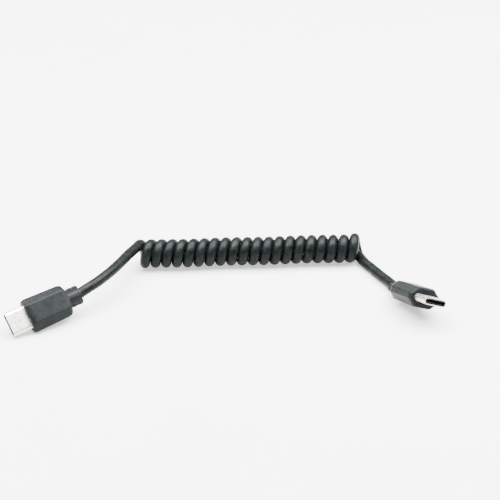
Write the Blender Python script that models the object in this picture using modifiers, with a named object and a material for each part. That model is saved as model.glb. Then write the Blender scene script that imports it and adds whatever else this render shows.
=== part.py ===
"""Coiled USB C cable, lying unheld on a level floor.

A springy cord wound into a long coil, with a short lead and a moulded plug at each end.
Metres, +Z up, the coil along X. The origin is on the floor, under the middle of the
two plugs. Every object is modelled in the coil's frame, whose origin is on the floor
under the middle of the coil, and hangs on one empty that carries it to the cable's frame.
"""

import math

import bmesh
import bpy
from mathutils import Matrix, Vector

NAME = "coiled_usb_c_cable"

# Cord and coil
CORD_DIAMETER = 0.0035
COIL_OUTER_DIAMETER = 0.0099
TURN_PITCH = 0.00368
TURN_COUNT = 20.5
COIL_BORE = COIL_OUTER_DIAMETER - 2 * CORD_DIAMETER
COIL_LENGTH = TURN_COUNT * TURN_PITCH + CORD_DIAMETER

# Clearances
CORD_GAP = 0.0003
FIT_GAP = 0.00015

# Steel shell of the plug: a flattened tube, open at the mouth
SHELL_WIDTH = 0.00825
SHELL_THICKNESS = 0.0024
SHELL_WALL = 0.0003
SHELL_EXPOSED = 0.00665
SHELL_SEATED = 0.0035

# Contact block inside the shell, with the slot that takes a socket's tongue
BLOCK_INSET = 0.0001
BLOCK_LENGTH = 0.0085
SLOT_WIDTH = 0.0067
SLOT_HEIGHT = 0.0009
SLOT_DEPTH = 0.0052

# Moulded housing: eight-sided, a little narrower at the rear
BODY_LENGTH = 0.0146
BODY_WIDTH = 0.0115
BODY_REAR_WIDTH = 0.0107
BODY_THICKNESS = 0.0069
BODY_REAR_THICKNESS = 0.0063
FACET_WIDTH = 0.0062
SIDE_HEIGHT = 0.0020
FRONT_RIM_DEPTH = 0.0015
FRONT_RIM_INSET = 0.0006
REAR_RIM_DEPTH = 0.0016
REAR_SIDE_INSET = 0.0012
REAR_FACE_INSET = 0.0005
EDGE_RADIUS = 0.0005

# Strain relief, in one piece with the housing: a round ridge over the cord on each
# broad face, and a thinner strip with ribs on each side
NECK_LENGTH = 0.0007
RELIEF_LENGTH = 0.0046
RELIEF_WIDTH = 0.0064
RELIEF_THICKNESS = 0.0045
RELIEF_SIDE_HEIGHT = 0.0026
RIB_COUNT = 2
RIB_DEPTH = 0.0004
RIB_CREST = 0.6
RIB_SLOPE = 0.18

# Where each plug lies: the middle of the housing's front face in the coil's frame,
# measured in plan from the coil's end, and the way the plug's mouth points
LEFT_REACH = (-0.0356, -0.0379)
LEFT_HEADING = math.radians(210.5)
LEFT_PITCH = math.radians(-6.5)
LEFT_ROLL = math.radians(-47.4)
RIGHT_REACH = (0.0168, -0.0392)
RIGHT_HEADING = math.radians(-67.4)
RIGHT_PITCH = math.radians(18)
RIGHT_ROLL = math.radians(-23.4)

# The leads' route points, chosen by hand: how far each is from the coil's end in plan,
# and how far the cord's middle is above its height there
LEFT_ROUTE = ((-0.0020, -0.0040, 0.0003), (-0.0034, -0.0068, 0.0005),
              (-0.0060, -0.0122, 0.0006), (-0.0086, -0.0169, 0.0006),
              (-0.0112, -0.0206, 0.0004), (-0.0136, -0.0235, 0.0001),
              (-0.0161, -0.0258, -0.0003))
RIGHT_ROUTE = ((0.0014, -0.0046, 0.0), (0.0034, -0.0087, 0.0), (0.0057, -0.0134, 0.00005),
               (0.0079, -0.0179, 0.0002))
POINT_SPACING = 2 * CORD_DIAMETER
STUB_LENGTH = 0.2 * CORD_DIAMETER

# How finely the round shapes are drawn
ROUND_STEPS = 32
RING_STEPS = 8
CORNER_STEPS = 2
RIM_STEPS = 3
SHELL_END_STEPS = 10
ROUTE_STEPS = 24
SMOOTH_ANGLE = math.radians(35)

BLACK_JACKET = ("cord_jacket", (0.030, 0.036, 0.034), 0.45, 0.0)
BLACK_MOULDING = ("plug_moulding", (0.070, 0.078, 0.080), 0.40, 0.0)
BRIGHT_STEEL = ("shell_steel", (0.78, 0.78, 0.76), 0.22, 1.0)
DARK_PLASTIC = ("contact_plastic", (0.012, 0.012, 0.013), 0.50, 0.0)


def clear_scene():
    for thing in list(bpy.data.objects):
        bpy.data.objects.remove(thing, do_unlink=True)


def make_collection(name):
    collection = bpy.data.collections.new(name)
    bpy.context.scene.collection.children.link(collection)
    return collection


def make_material(look):
    name, colour, roughness, metallic = look
    material = bpy.data.materials.get(name)
    if material:
        return material
    material = bpy.data.materials.new(name)
    material.use_nodes = True
    shader = material.node_tree.nodes["Principled BSDF"]
    shader.inputs["Base Color"].default_value = (*colour, 1.0)
    shader.inputs["Roughness"].default_value = roughness
    shader.inputs["Metallic"].default_value = metallic
    return material


def add_object(name, data, look, collection, parent):
    thing = bpy.data.objects.new(name, data)
    data.materials.append(make_material(look))
    collection.objects.link(thing)
    thing.parent = parent
    return thing


def add_mesh(name, shape, look, collection, parent):
    """An object from a bmesh, its faces turned outward and its round sides smooth."""
    bmesh.ops.recalc_face_normals(shape, faces=shape.faces)
    mesh = bpy.data.meshes.new(name)
    shape.to_mesh(mesh)
    shape.free()
    mesh.shade_smooth()
    mesh.set_sharp_from_angle(angle=SMOOTH_ANGLE)
    return add_object(name, mesh, look, collection, parent)


def arc(centre, radius, start, end, steps):
    """Points on an arc, both ends included."""
    angles = [start + (end - start) * i / steps for i in range(steps + 1)]
    return [(centre[0] + radius * math.cos(a), centre[1] + radius * math.sin(a))
            for a in angles]


def rounded_outline(corners, radius):
    """The corners of a convex outline, each replaced by a short arc of the same count."""
    points = []
    for i, corner in enumerate(corners):
        here = Vector(corner)
        before = (Vector(corners[i - 1]) - here).normalized()
        after = (Vector(corners[(i + 1) % len(corners)]) - here).normalized()
        half_angle = before.angle(after) / 2
        cut = radius / math.tan(half_angle)
        middle = here + (before + after).normalized() * radius / math.sin(half_angle)
        start = here + before * cut - middle
        end = here + after * cut - middle
        for k in range(CORNER_STEPS + 1):
            spoke = start.lerp(end, k / CORNER_STEPS).normalized() * radius
            points.append(middle + spoke)
    return points


def housing_outline(width, thickness, facet, side, radius):
    """The eight-sided section, broad facets above and below, across the plug's axis."""
    w, t = width / 2, thickness / 2
    f, s = facet / 2, side / 2
    corners = ((f, t), (w, s), (w, -s), (f, -t), (-f, -t), (-w, -s), (-w, s), (-f, t))
    return rounded_outline(corners, radius)


def flat_tube_outline(width, thickness):
    """Two half circles joined by straight sides."""
    radius = thickness / 2
    reach = width / 2 - radius
    right = arc((reach, 0), radius, -math.pi / 2, math.pi / 2, SHELL_END_STEPS)
    left = arc((-reach, 0), radius, math.pi / 2, 3 * math.pi / 2, SHELL_END_STEPS)
    return [Vector(p) for p in right + left]


def loft(shape, sections, capped=True):
    """Skin a row of sections, each (distance along X, outline) with as many points."""
    rings = [[shape.verts.new((x, p.x, p.y)) for p in outline] for x, outline in sections]
    for low, high in zip(rings, rings[1:]):
        for i in range(len(low)):
            j = (i + 1) % len(low)
            shape.faces.new((low[i], low[j], high[j], high[i]))
    if capped:
        shape.faces.new(rings[0])
        shape.faces.new(rings[-1])
    return rings


def cut(thing, cutter):
    """Cut one object with another, keeping the modifier live."""
    cutter.hide_render = True
    cutter.display_type = "WIRE"
    modifier = thing.modifiers.new(cutter.name, "BOOLEAN")
    modifier.operation = "DIFFERENCE"
    modifier.solver = "EXACT"
    modifier.object = cutter


def body_section(x, side_inset, face_inset):
    """The housing's outline at a place along X, drawn in at its sides and broad faces."""
    share = -x / BODY_LENGTH
    width = BODY_WIDTH + (BODY_REAR_WIDTH - BODY_WIDTH) * share
    thickness = BODY_THICKNESS + (BODY_REAR_THICKNESS - BODY_THICKNESS) * share
    return x, housing_outline(width - 2 * side_inset, thickness - 2 * face_inset,
                              FACET_WIDTH - side_inset, SIDE_HEIGHT - face_inset,
                              EDGE_RADIUS)


def body_sections():
    """The housing from its front face back to its rear face, with both rims rounded."""
    front, rear = [], []
    for step in range(RIM_STEPS + 1):
        turn = math.pi / 2 * step / RIM_STEPS
        along, inward = 1 - math.cos(turn), 1 - math.sin(turn)
        front.append(body_section(-FRONT_RIM_DEPTH * along, FRONT_RIM_INSET * inward,
                                  FRONT_RIM_INSET * inward))
        rear.append(body_section(-BODY_LENGTH + REAR_RIM_DEPTH * along,
                                 REAR_SIDE_INSET * inward, REAR_FACE_INSET * inward))
    return front + rear[::-1]


def relief_section(x, drop):
    """The relief's outline, with its side strips drawn in.

    A quarter runs down the ridge and round the strip's corner, and has as many points
    as two of the housing's corners; the other three quarters mirror it.
    """
    w, s = RELIEF_WIDTH / 2 - drop, RELIEF_SIDE_HEIGHT / 2
    ridge = RELIEF_THICKNESS / 2
    foot = math.asin(s / ridge)
    start = math.pi / 2 - (math.pi / 2 - foot) / (2 * CORNER_STEPS + 1)
    quarter = arc((0, 0), ridge, start, foot, CORNER_STEPS)
    quarter += arc((w - EDGE_RADIUS, s - EDGE_RADIUS), EDGE_RADIUS, math.pi / 2, 0,
                   CORNER_STEPS)
    right = quarter + [(y, -z) for y, z in reversed(quarter)]
    return x, [Vector(p) for p in right] + [-Vector(p) for p in right]


def relief_sections():
    """The strain relief: a neck, then ribs that stand out from the grooves between."""
    start = -BODY_LENGTH - NECK_LENGTH
    sections = [relief_section(-BODY_LENGTH, RIB_DEPTH), relief_section(start, RIB_DEPTH)]
    step = (RELIEF_LENGTH - NECK_LENGTH) / RIB_COUNT
    for rib in range(RIB_COUNT):
        crest = start - step * (rib + RIB_SLOPE)
        foot = crest - step * (RIB_CREST + RIB_SLOPE)
        sections += [relief_section(crest, 0),
                     relief_section(crest - step * RIB_CREST, 0),
                     relief_section(foot, RIB_DEPTH)]
    return sections + [relief_section(-BODY_LENGTH - RELIEF_LENGTH, RIB_DEPTH)]


def add_housing(side, collection, cutters, parent):
    """Housing and strain relief as one moulding, with the pocket that holds the shell."""
    shape = bmesh.new()
    loft(shape, body_sections() + relief_sections())
    housing = add_mesh(side + "_overmould", shape, BLACK_MOULDING, collection, parent)
    pocket = bmesh.new()
    outline = flat_tube_outline(SHELL_WIDTH + 2 * FIT_GAP, SHELL_THICKNESS + 2 * FIT_GAP)
    loft(pocket, [(FRONT_RIM_DEPTH, outline), (-SHELL_SEATED - FIT_GAP, outline)])
    cutter = add_mesh(side + "_shell_pocket", pocket, DARK_PLASTIC, cutters, parent)
    cut(housing, cutter)


def add_shell(side, collection, parent):
    """The steel tube, from its seat in the housing to the mouth."""
    shape = bmesh.new()
    outer = flat_tube_outline(SHELL_WIDTH, SHELL_THICKNESS)
    inner = flat_tube_outline(SHELL_WIDTH - 2 * SHELL_WALL,
                              SHELL_THICKNESS - 2 * SHELL_WALL)
    ends = (-SHELL_SEATED, SHELL_EXPOSED)
    outer_rings = loft(shape, [(x, outer) for x in ends], capped=False)
    inner_rings = loft(shape, [(x, inner) for x in ends], capped=False)
    for ring, bore in zip(outer_rings, inner_rings):
        for i in range(len(ring)):
            j = (i + 1) % len(ring)
            shape.faces.new((ring[i], ring[j], bore[j], bore[i]))
    add_mesh(side + "_shell", shape, BRIGHT_STEEL, collection, parent)


def add_contact_block(side, collection, cutters, parent):
    """The plastic block inside the shell, open at the mouth for a socket's tongue."""
    shape = bmesh.new()
    inset = SHELL_WALL + FIT_GAP
    outline = flat_tube_outline(SHELL_WIDTH - 2 * inset, SHELL_THICKNESS - 2 * inset)
    front = SHELL_EXPOSED - BLOCK_INSET
    loft(shape, [(front, outline), (front - BLOCK_LENGTH, outline)])
    block = add_mesh(side + "_contact_block", shape, DARK_PLASTIC, collection, parent)
    slot = bmesh.new()
    bmesh.ops.create_cube(slot, size=1.0)
    reach = SLOT_DEPTH + BLOCK_INSET
    bmesh.ops.scale(slot, vec=(reach, SLOT_WIDTH, SLOT_HEIGHT), verts=slot.verts)
    bmesh.ops.translate(slot, vec=(SHELL_EXPOSED - reach / 2, 0, 0), verts=slot.verts)
    cutter = add_mesh(side + "_tongue_slot", slot, DARK_PLASTIC, cutters, parent)
    cut(block, cutter)


def plug_points(matrix):
    """The outer points of the whole plug, carried by its frame."""
    shell = flat_tube_outline(SHELL_WIDTH, SHELL_THICKNESS)
    sections = body_sections() + relief_sections() + [(SHELL_EXPOSED, shell)]
    return [matrix @ Vector((x, p.x, p.y)) for x, outline in sections for p in outline]


def plug_matrix(end, reach, heading, pitch, roll):
    """The plug's frame, X out of its mouth from the housing's front, lying on the floor."""
    place = Matrix.Translation((end + reach[0], reach[1], 0))
    turn = Matrix.Rotation(heading, 4, "Z") @ Matrix.Rotation(-pitch, 4, "Y")
    matrix = place @ turn @ Matrix.Rotation(roll, 4, "X")
    lowest = min(point.z for point in plug_points(matrix))
    return Matrix.Translation((0, 0, -lowest)) @ matrix


def add_plug(side, matrix, collection, cutters, parent):
    """One plug: a moulded housing, a steel shell and the contact block inside it."""
    seat = bpy.data.objects.new(side + "_plug", None)
    collection.objects.link(seat)
    seat.parent = parent
    seat.matrix_local = matrix
    add_housing(side, collection, cutters, seat)
    add_shell(side, collection, seat)
    add_contact_block(side, collection, cutters, seat)


def add_coil(collection, parent):
    """The whole coil as one turned tube of its outer diameter, open along its bore."""
    outer, bore = COIL_OUTER_DIAMETER / 2, COIL_BORE / 2
    radius, reach = CORD_DIAMETER / 2, (COIL_LENGTH - CORD_DIAMETER) / 2
    profile = arc((bore + radius, reach), radius, math.pi, 0, RING_STEPS)
    profile += arc((bore + radius, -reach), radius, 0, -math.pi, RING_STEPS)
    shape = bmesh.new()
    verts = [shape.verts.new((r, 0, z)) for r, z in profile]
    for i in range(len(verts)):
        shape.edges.new((verts[i], verts[(i + 1) % len(verts)]))
    mesh = bpy.data.meshes.new("coil")
    shape.to_mesh(mesh)
    shape.free()
    coil = add_object("coil", mesh, BLACK_JACKET, collection, parent)
    turned = coil.modifiers.new("turned", "SCREW")
    turned.angle = 2 * math.pi
    turned.steps = turned.render_steps = ROUND_STEPS
    turned.use_merge_vertices = True
    turned.merge_threshold = 0.00001
    coil.rotation_euler = (0, math.pi / 2, 0)
    coil.location = (0, 0, outer)


def smooth_route(points, spacing):
    """Points at even spacing on a smooth curve through the route's own points."""
    ends = [2 * points[0] - points[1]] + points + [2 * points[-1] - points[-2]]
    fine = []
    for a, b, c, d in zip(ends, ends[1:], ends[2:], ends[3:]):
        for step in range(ROUTE_STEPS):
            t = step / ROUTE_STEPS
            fine.append(0.5 * (2 * b + (c - a) * t + (2 * a - 5 * b + 4 * c - d) * t ** 2
                               + (3 * b - a - 3 * c + d) * t ** 3))
    fine.append(points[-1])
    length = sum((q - p).length for p, q in zip(fine, fine[1:]))
    count = max(2, round(length / spacing))
    even = [fine[0]]
    walked = 0.0
    for p, q in zip(fine, fine[1:]):
        walked += (q - p).length
        if walked >= length * len(even) / count and len(even) < count:
            even.append(q)
    return even + [fine[-1]]


def add_lead(name, end, height, route, matrix, collection, parent):
    """One lead: the cord from beside the coil to the end of the plug's strain relief."""
    axis = (matrix.to_3x3() @ Vector((1, 0, 0))).normalized()
    relief = matrix @ Vector((-BODY_LENGTH - RELIEF_LENGTH - CORD_GAP, 0, 0))
    points = [Vector((end + x, y, height + rise)) for x, y, rise in route]
    points.append(relief - axis * STUB_LENGTH)
    curve = bpy.data.curves.new(name, "CURVE")
    curve.dimensions = "3D"
    curve.bevel_depth = CORD_DIAMETER / 2
    curve.bevel_resolution = 2
    curve.use_fill_caps = True
    spline = curve.splines.new("POLY")
    places = smooth_route(points, POINT_SPACING) + [relief]
    spline.points.add(len(places) - 1)
    for point, place in zip(spline.points, places):
        point.co = (*place, 1.0)
    add_object(name, curve, BLACK_JACKET, collection, parent)


def centre_under(parent, matrices):
    """Put the origin on the floor, under the middle of the box round both plugs."""
    spots = [point for matrix in matrices for point in plug_points(matrix)]
    for axis in (0, 1):
        values = [spot[axis] for spot in spots]
        parent.location[axis] = -(min(values) + max(values)) / 2


def main():
    clear_scene()
    parts = make_collection(NAME)
    cutters = make_collection("cutters")
    frame = bpy.data.objects.new("coil_frame", None)
    parts.objects.link(frame)

    end = TURN_COUNT * TURN_PITCH / 2
    left = plug_matrix(-end, LEFT_REACH, LEFT_HEADING, LEFT_PITCH, LEFT_ROLL)
    right = plug_matrix(end, RIGHT_REACH, RIGHT_HEADING, RIGHT_PITCH, RIGHT_ROLL)
    add_coil(parts, frame)
    add_plug("left", left, parts, cutters, frame)
    add_plug("right", right, parts, cutters, frame)
    top = COIL_OUTER_DIAMETER - CORD_DIAMETER / 2
    floor = CORD_DIAMETER / 2
    add_lead("lead_left", -end, top, LEFT_ROUTE, left, parts, frame)
    add_lead("lead_right", end, floor, RIGHT_ROUTE, right, parts, frame)
    centre_under(frame, (left, right))


main()
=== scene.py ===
"""The coiled USB C cable as it looks, lying on a pale studio floor.

One springy cord, wound and heat-set into a long coil, runs from plug to plug.
Metres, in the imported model's frame: the coil lies along X, and +Z is up.
"""

import math

import bmesh
import bpy
from mathutils import Matrix, Vector


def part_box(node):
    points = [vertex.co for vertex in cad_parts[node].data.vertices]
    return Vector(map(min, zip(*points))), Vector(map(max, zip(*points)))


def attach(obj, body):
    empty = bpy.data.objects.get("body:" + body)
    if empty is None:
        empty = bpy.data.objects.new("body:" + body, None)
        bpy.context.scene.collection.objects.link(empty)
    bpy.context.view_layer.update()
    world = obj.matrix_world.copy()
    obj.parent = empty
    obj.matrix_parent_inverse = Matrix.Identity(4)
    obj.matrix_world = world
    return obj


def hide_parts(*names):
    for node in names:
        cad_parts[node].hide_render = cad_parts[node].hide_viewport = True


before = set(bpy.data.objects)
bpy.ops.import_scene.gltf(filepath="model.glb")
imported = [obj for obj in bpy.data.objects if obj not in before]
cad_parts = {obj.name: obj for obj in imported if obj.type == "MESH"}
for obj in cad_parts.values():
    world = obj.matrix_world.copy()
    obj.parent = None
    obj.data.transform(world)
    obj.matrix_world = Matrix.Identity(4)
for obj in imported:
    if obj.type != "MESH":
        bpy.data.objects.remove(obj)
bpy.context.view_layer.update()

# Cord and coil, with the part's diameter and turns
CORD_DIAMETER = 0.0035
TURN_COUNT = 20.5

# How finely the cord is drawn: points in each turn and in each step of a lead's route, the
# share of a turn that gives its direction at the coil's ends, and its roundness
POINTS_PER_TURN = 36
POINTS_PER_STEP = 4
TURN_STEP = 0.001
CORD_ROUNDNESS = 10

# How the wound cord departs from an even helix: the front of each turn is set back
# towards the left lead, most at that end; the first turns are pushed together, and their
# backs are pulled along; the whole coil wavers; and the last turn stands a little proud
LEFT_LEAN = 0.00062
RIGHT_LEAN = -0.00009
SQUEEZE = 0.00036
SQUEEZED_TURNS = 5
SQUEEZE_ONSET = 0.4
BACK_PULL = 0.0003
PULLED_TURNS = 11
SWAY = 0.00018
SWAY_LENGTH = 0.027
SWAY_START = 0.019
LAST_TURN_LIFT = 0.00035
LAST_TURN_REACH = 0.45

# The leads' route points: how far each is from the coil's end in plan, and how far the
# cord's middle is above its height there; and how far the cord runs into the relief
LEFT_ROUTE = ((-0.0020, -0.0040, 0.0003), (-0.0034, -0.0068, 0.0005),
              (-0.0060, -0.0122, 0.0006), (-0.0086, -0.0169, 0.0006),
              (-0.0112, -0.0206, 0.0004), (-0.0136, -0.0235, 0.0001),
              (-0.0161, -0.0258, -0.0003))
RIGHT_ROUTE = ((0.0014, -0.0046, 0.0), (0.0034, -0.0087, 0.0), (0.0057, -0.0134, 0.00005),
               (0.0079, -0.0179, 0.0002))
CORD_INSIDE = 0.001

# Plug sizes, as in the part
SHELL_EXPOSED = 0.00665
SHELL_SEATED = 0.0035
BODY_LENGTH = 0.0146
RELIEF_LENGTH = 0.0046
SLOT_HEIGHT = 0.0009

# Contact springs in the slot: as many on each of its broad walls
CONTACT_COUNT = 12
CONTACT_PITCH = 0.0005
CONTACT_WIDTH = 0.00026
CONTACT_THICKNESS = 0.00007
CONTACT_BULGE = 0.00016
CONTACT_START = 0.0009
CONTACT_END = 0.0046
CONTACT_STEPS = 8

# Where each plug lies: its housing's front face from the coil's end, and its turns
LEFT_PLUG = {"reach": (-0.0356, -0.0379), "heading": 210.5, "pitch": -6.5, "roll": -47.4}
RIGHT_PLUG = {"reach": (0.0168, -0.0392), "heading": -67.4, "pitch": 18, "roll": -23.4}

# Camera: a long lens in front of the coil, above it and a little to the left
CAMERA_DISTANCE = 0.60
CAMERA_ELEVATION = math.radians(30)
CAMERA_TURN = math.radians(3.2)
VIEW_WIDTH = 0.1704
VIEW_SHIFT = (0.0015, 0.002)
SENSOR_MM = 36.0

# Studio: a wide strip light over the coil, an even surround, and a floor that glows a little
STRIP_PLACE = (0.06, 0.10, 0.65)
STRIP_SIZE = (1.4, 0.6)
STRIP_POWER = 112.0
SURROUND = 1.3
FLOOR_SIZE = 6.0
FLOOR_GLOW = 0.8
WHITE = (1.0, 1.0, 1.0, 1.0)

# Noise textures: how much detail waves, mottling and grain have, how rough they are, and
# the middle stretch of their values, which the finishes use
WAVE_DETAIL = 2.0
MOTTLE_DETAIL = 4.0
GRAIN_DETAIL = 6.0
NOISE_ROUGHNESS = 0.55
NOISE_LOW = 0.35
NOISE_HIGH = 0.65


def coil_frame():
    """The coil's middle, and how far along X the cord's middle line reaches each way."""
    low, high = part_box("coil")
    return (Vector(low) + Vector(high)) / 2, (high[0] - low[0] - CORD_DIAMETER) / 2


COIL_MIDDLE, COIL_REACH = coil_frame()
COIL_RADIUS = COIL_MIDDLE.z - CORD_DIAMETER / 2


def add_camera():
    look = Vector((math.sin(CAMERA_TURN) * math.cos(CAMERA_ELEVATION),
                   math.cos(CAMERA_TURN) * math.cos(CAMERA_ELEVATION),
                   -math.sin(CAMERA_ELEVATION)))
    camera = bpy.data.objects.new("camera", bpy.data.cameras.new("camera"))
    bpy.context.scene.collection.objects.link(camera)
    camera.location = COIL_MIDDLE - look * CAMERA_DISTANCE
    camera.rotation_euler = look.to_track_quat("-Z", "Y").to_euler()
    camera.data.sensor_width = SENSOR_MM
    camera.data.lens = SENSOR_MM * CAMERA_DISTANCE / VIEW_WIDTH
    camera.data.shift_x, camera.data.shift_y = VIEW_SHIFT
    bpy.context.scene.camera = camera


def plug_matrix(side, plug):
    """The plug's frame: X out of its mouth, from the middle of the housing's front."""
    sign = -1 if side == "left" else 1
    turn = Matrix.Rotation(math.radians(plug["heading"]), 4, "Z")
    turn = turn @ Matrix.Rotation(-math.radians(plug["pitch"]), 4, "Y")
    turn = turn @ Matrix.Rotation(math.radians(plug["roll"]), 4, "X")
    low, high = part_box(side + "_shell")
    axis = turn @ Vector((1, 0, 0))
    height = (low[2] + high[2]) / 2 - axis.z * (SHELL_EXPOSED - SHELL_SEATED) / 2
    x, y = plug["reach"]
    place = Vector((COIL_MIDDLE.x + sign * COIL_REACH + x, COIL_MIDDLE.y + y, height))
    return Matrix.Translation(place) @ turn


def smooth(points, before, after):
    """Points on a smooth curve through the given ones, past a guide point at each end."""
    guides = [before] + points + [after]
    curve = []
    for a, b, c, d in zip(guides, guides[1:], guides[2:], guides[3:]):
        for step in range(POINTS_PER_STEP):
            t = step / POINTS_PER_STEP
            curve.append(0.5 * (2 * b + (c - a) * t + (2 * a - 5 * b + 4 * c - d) * t ** 2
                                + (3 * b - a - 3 * c + d) * t ** 3))
    return curve + [points[-1]]


def ease(share):
    """A share kept between 0 and 1, with both ends rounded off."""
    share = min(1.0, max(0.0, share))
    return share * share * (3 - 2 * share)


def coil_point(turns):
    """The wound cord's middle: over the top, down the back, forward underneath."""
    share = turns / TURN_COUNT
    angle = 2 * math.pi * turns
    along = COIL_REACH * (2 * share - 1)
    lean = LEFT_LEAN + (RIGHT_LEAN - LEFT_LEAN) * share
    squeeze = SQUEEZE * max(0.0, 1 - turns / SQUEEZED_TURNS) ** 2 * ease(turns / SQUEEZE_ONSET)
    pull = BACK_PULL * max(0.0, 1 - turns / PULLED_TURNS) ** 2 * max(0.0, math.sin(angle)) ** 2
    sway = SWAY * math.cos(2 * math.pi * (along - SWAY_START) / SWAY_LENGTH)
    lift = LAST_TURN_LIFT * ease(1 - abs(TURN_COUNT - 0.5 - turns) / LAST_TURN_REACH)
    return COIL_MIDDLE + Vector((along + squeeze + pull + lean * math.sin(angle),
                                 COIL_RADIUS * math.sin(angle) + sway,
                                 COIL_RADIUS * math.cos(angle) + lift))


def lead_points(turns, sign, route, matrix):
    """One lead's points, from the coil's end to inside the plug's strain relief."""
    axis = matrix.to_3x3() @ Vector((1, 0, 0))
    relief = matrix @ Vector((-BODY_LENGTH - RELIEF_LENGTH, 0, 0))
    start = coil_point(turns)
    out = (start - coil_point(turns - sign * TURN_STEP)).normalized()
    end = Vector((COIL_MIDDLE.x + sign * COIL_REACH, COIL_MIDDLE.y, start.z))
    points = [start] + [end + Vector(step) for step in route] + [relief + axis * CORD_INSIDE]
    # A guide point that starts the lead in the direction in which the coil ends
    before = points[1] - 2 * out * (points[1] - points[0]).length
    return smooth(points, before, points[-1] + axis * CORD_INSIDE)[1:]


def cord_points(left, right):
    """The whole cord's middle line, from the left plug to the right one."""
    count = round(TURN_COUNT * POINTS_PER_TURN)
    coil = [coil_point(i / POINTS_PER_TURN) for i in range(count + 1)]
    lead_in = lead_points(0, -1, LEFT_ROUTE, left)
    lead_out = lead_points(TURN_COUNT, 1, RIGHT_ROUTE, right)
    return lead_in[::-1] + coil + lead_out


def add_cord(places):
    """The cord as one tube along its middle line."""
    curve = bpy.data.curves.new("cord", "CURVE")
    curve.dimensions = "3D"
    curve.bevel_depth = CORD_DIAMETER / 2
    curve.bevel_resolution = CORD_ROUNDNESS
    curve.use_fill_caps = True
    spline = curve.splines.new("POLY")
    spline.points.add(len(places) - 1)
    for point, place in zip(spline.points, places):
        point.co = (*place, 1.0)
    spline.use_smooth = True
    cord = bpy.data.objects.new("cord", curve)
    bpy.context.scene.collection.objects.link(cord)
    return cord


def contact_ring(share, wall, y):
    """The corners of one spring's section, a share of the way into the slot."""
    x = SHELL_EXPOSED - CONTACT_START - (CONTACT_END - CONTACT_START) * share
    bow = CONTACT_BULGE * math.sin(math.pi * share)
    inner = wall * (SLOT_HEIGHT / 2 - CONTACT_THICKNESS - bow)
    outer = wall * (SLOT_HEIGHT / 2 - bow)
    left, right = y - CONTACT_WIDTH / 2, y + CONTACT_WIDTH / 2
    return (x, left, inner), (x, right, inner), (x, right, outer), (x, left, outer)


def add_contact(shape, wall, y):
    """One spring, as a bowed strip with closed ends."""
    rings = [[shape.verts.new(corner) for corner in contact_ring(step / CONTACT_STEPS, wall, y)]
             for step in range(CONTACT_STEPS + 1)]
    for low, high in zip(rings, rings[1:]):
        for k in range(len(low)):
            j = (k + 1) % len(low)
            shape.faces.new((low[k], low[j], high[j], high[k]))
    shape.faces.new(rings[0])
    shape.faces.new(rings[-1])


def add_contacts(side, matrix):
    """The fine springs that bow into the slot from both of its broad walls."""
    shape = bmesh.new()
    for wall in (-1, 1):
        for i in range(CONTACT_COUNT):
            add_contact(shape, wall, (i - (CONTACT_COUNT - 1) / 2) * CONTACT_PITCH)
    bmesh.ops.recalc_face_normals(shape, faces=shape.faces)
    shape.transform(matrix)
    mesh = bpy.data.meshes.new(side + "_contacts")
    shape.to_mesh(mesh)
    shape.free()
    contacts = bpy.data.objects.new(side + "_contacts", mesh)
    bpy.context.scene.collection.objects.link(contacts)
    return contacts


def new_material(name):
    material = bpy.data.materials.new(name)
    material.use_nodes = True
    return material, material.node_tree.nodes, material.node_tree.links


def noise(nodes, links, place, scale, detail):
    """A noise value over the surface, with so many waves to the metre."""
    texture = nodes.new("ShaderNodeTexNoise")
    texture.inputs["Scale"].default_value = scale
    texture.inputs["Detail"].default_value = detail
    texture.inputs["Roughness"].default_value = NOISE_ROUGHNESS
    links.new(place, texture.inputs["Vector"])
    return texture.outputs["Fac"]


def spread(nodes, links, value, low, high):
    """Map a noise value's middle stretch onto low to high."""
    node = nodes.new("ShaderNodeMapRange")
    node.inputs["From Min"].default_value = NOISE_LOW
    node.inputs["From Max"].default_value = NOISE_HIGH
    node.inputs["To Min"].default_value = low
    node.inputs["To Max"].default_value = high
    links.new(value, node.inputs["Value"])
    return node.outputs["Result"]


def tint(nodes, links, value, dark, light):
    """Colour a noise value's middle stretch from dark to light."""
    node = nodes.new("ShaderNodeValToRGB")
    first, last = node.color_ramp.elements
    first.position, first.color = NOISE_LOW, (*dark, 1.0)
    last.position, last.color = NOISE_HIGH, (*light, 1.0)
    links.new(value, node.inputs["Fac"])
    return node.outputs["Color"]


def bump(nodes, links, height, depth, below=None):
    """Raise the surface by up to the depth, on top of another bump if one is given."""
    node = nodes.new("ShaderNodeBump")
    node.inputs["Strength"].default_value = 1.0
    node.inputs["Distance"].default_value = depth
    links.new(height, node.inputs["Height"])
    if below:
        links.new(below, node.inputs["Normal"])
    return node.outputs["Normal"]


def finish_material(name, dark, light, rough, grain, metallic=0.0, specular=0.5):
    """A moulded or rolled finish: mottled colour, uneven gloss and a fine grain."""
    material, nodes, links = new_material(name)
    shader = nodes["Principled BSDF"]
    place = nodes.new("ShaderNodeTexCoord").outputs["Object"]
    mottle = noise(nodes, links, place, grain["mottle_scale"], MOTTLE_DETAIL)
    links.new(tint(nodes, links, mottle, dark, light), shader.inputs["Base Color"])
    patches = noise(nodes, links, place, grain["gloss_scale"], GRAIN_DETAIL)
    links.new(spread(nodes, links, patches, *rough), shader.inputs["Roughness"])
    waves = noise(nodes, links, place, grain["wave_scale"], WAVE_DETAIL)
    coarse = bump(nodes, links, waves, grain["wave_depth"])
    grit = noise(nodes, links, place, grain["fine_scale"], GRAIN_DETAIL)
    fine = bump(nodes, links, grit, grain["fine_depth"], coarse)
    links.new(fine, shader.inputs["Normal"])
    shader.inputs["Metallic"].default_value = metallic
    shader.inputs["Specular IOR Level"].default_value = specular
    return material


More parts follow.
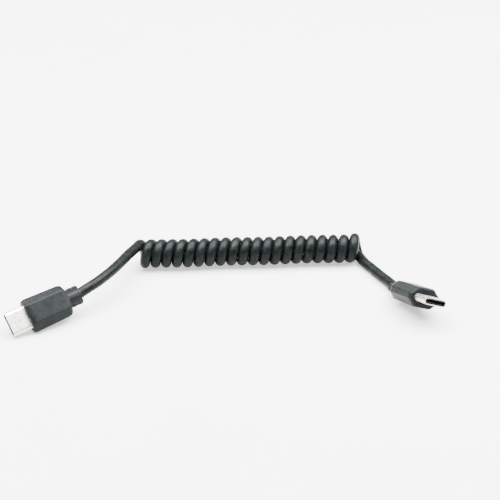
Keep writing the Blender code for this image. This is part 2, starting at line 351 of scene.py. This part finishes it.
def jacket_material():
    return finish_material(
        "cord_jacket", (0.0010, 0.0015, 0.0015), (0.0034, 0.0046, 0.0045), (0.28, 0.54),
        {"mottle_scale": 700, "gloss_scale": 800, "wave_scale": 700, "wave_depth": 0.00006,
         "fine_scale": 5200, "fine_depth": 0.000005}, specular=0.065)


def moulding_material():
    return finish_material(
        "plug_moulding", (0.0028, 0.0035, 0.0038), (0.0056, 0.0067, 0.0071), (0.34, 0.50),
        {"mottle_scale": 300, "gloss_scale": 1200, "wave_scale": 260, "wave_depth": 0.00001,
         "fine_scale": 7000, "fine_depth": 0.000006}, specular=0.07)


def steel_material():
    return finish_material(
        "shell_steel", (0.54, 0.545, 0.505), (0.70, 0.705, 0.655), (0.26, 0.42),
        {"mottle_scale": 500, "gloss_scale": 1500, "wave_scale": 300, "wave_depth": 0.000008,
         "fine_scale": 9000, "fine_depth": 0.000002}, metallic=1.0)


def gold_material():
    return finish_material(
        "contact_gold", (0.34, 0.25, 0.14), (0.48, 0.37, 0.21), (0.34, 0.48),
        {"mottle_scale": 900, "gloss_scale": 2500, "wave_scale": 900, "wave_depth": 0.000004,
         "fine_scale": 9000, "fine_depth": 0.000002}, metallic=1.0)


def contact_plastic_material():
    return finish_material(
        "contact_plastic", (0.0030, 0.0027, 0.0025), (0.0060, 0.0054, 0.0050), (0.52, 0.66),
        {"mottle_scale": 800, "gloss_scale": 1500, "wave_scale": 900, "wave_depth": 0.00001,
         "fine_scale": 8000, "fine_depth": 0.000006}, specular=0.10)


def floor_material():
    """A pale table top that glows a little, which keeps the shadows light."""
    material = finish_material(
        "studio_floor", (0.44, 0.44, 0.437), (0.46, 0.46, 0.457), (0.60, 0.72),
        {"mottle_scale": 20, "gloss_scale": 60, "wave_scale": 40, "wave_depth": 0.00002,
         "fine_scale": 900, "fine_depth": 0.00001}, specular=0.2)
    shader = material.node_tree.nodes["Principled BSDF"]
    shader.inputs["Emission Color"].default_value = WHITE
    shader.inputs["Emission Strength"].default_value = FLOOR_GLOW
    return material


def dress(name, material):
    """Give a CAD node its finish."""
    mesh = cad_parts[name].data
    mesh.materials.clear()
    mesh.materials.append(material)


def add_floor():
    bpy.ops.mesh.primitive_plane_add(size=FLOOR_SIZE, location=(0, 0, 0))
    floor = bpy.context.object
    floor.name = "studio_floor"
    floor.data.materials.append(floor_material())


def add_surround():
    """An even white light from all around."""
    world = bpy.data.worlds.new("studio")
    bpy.context.scene.world = world
    world.use_nodes = True
    background = world.node_tree.nodes["Background"]
    background.inputs["Color"].default_value = WHITE
    background.inputs["Strength"].default_value = SURROUND


def add_strip_light():
    """An area light over the coil, which shines straight down."""
    light = bpy.data.lights.new("overhead_strip", "AREA")
    light.shape = "RECTANGLE"
    light.size, light.size_y = STRIP_SIZE
    light.energy = STRIP_POWER
    lamp = bpy.data.objects.new("overhead_strip", light)
    bpy.context.scene.collection.objects.link(lamp)
    lamp.location = STRIP_PLACE


def dress_plugs():
    moulding, steel, plastic = moulding_material(), steel_material(), contact_plastic_material()
    for side in ("left", "right"):
        dress(side + "_overmould", moulding)
        dress(side + "_shell", steel)
        dress(side + "_contact_block", plastic)


def main():
    add_camera()
    plugs = {"left": plug_matrix("left", LEFT_PLUG), "right": plug_matrix("right", RIGHT_PLUG)}
    places = cord_points(plugs["left"], plugs["right"])
    cord = add_cord(places)
    cord.data.materials.append(jacket_material())
    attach(cord, "root")
    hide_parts("coil", "lead_left", "lead_right")
    gold = gold_material()
    contacts = {side: add_contacts(side, matrix) for side, matrix in plugs.items()}
    for springs in contacts.values():
        springs.data.materials.append(gold)
        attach(springs, "root")
    dress_plugs()
    add_floor()
    add_surround()
    add_strip_light()


main()
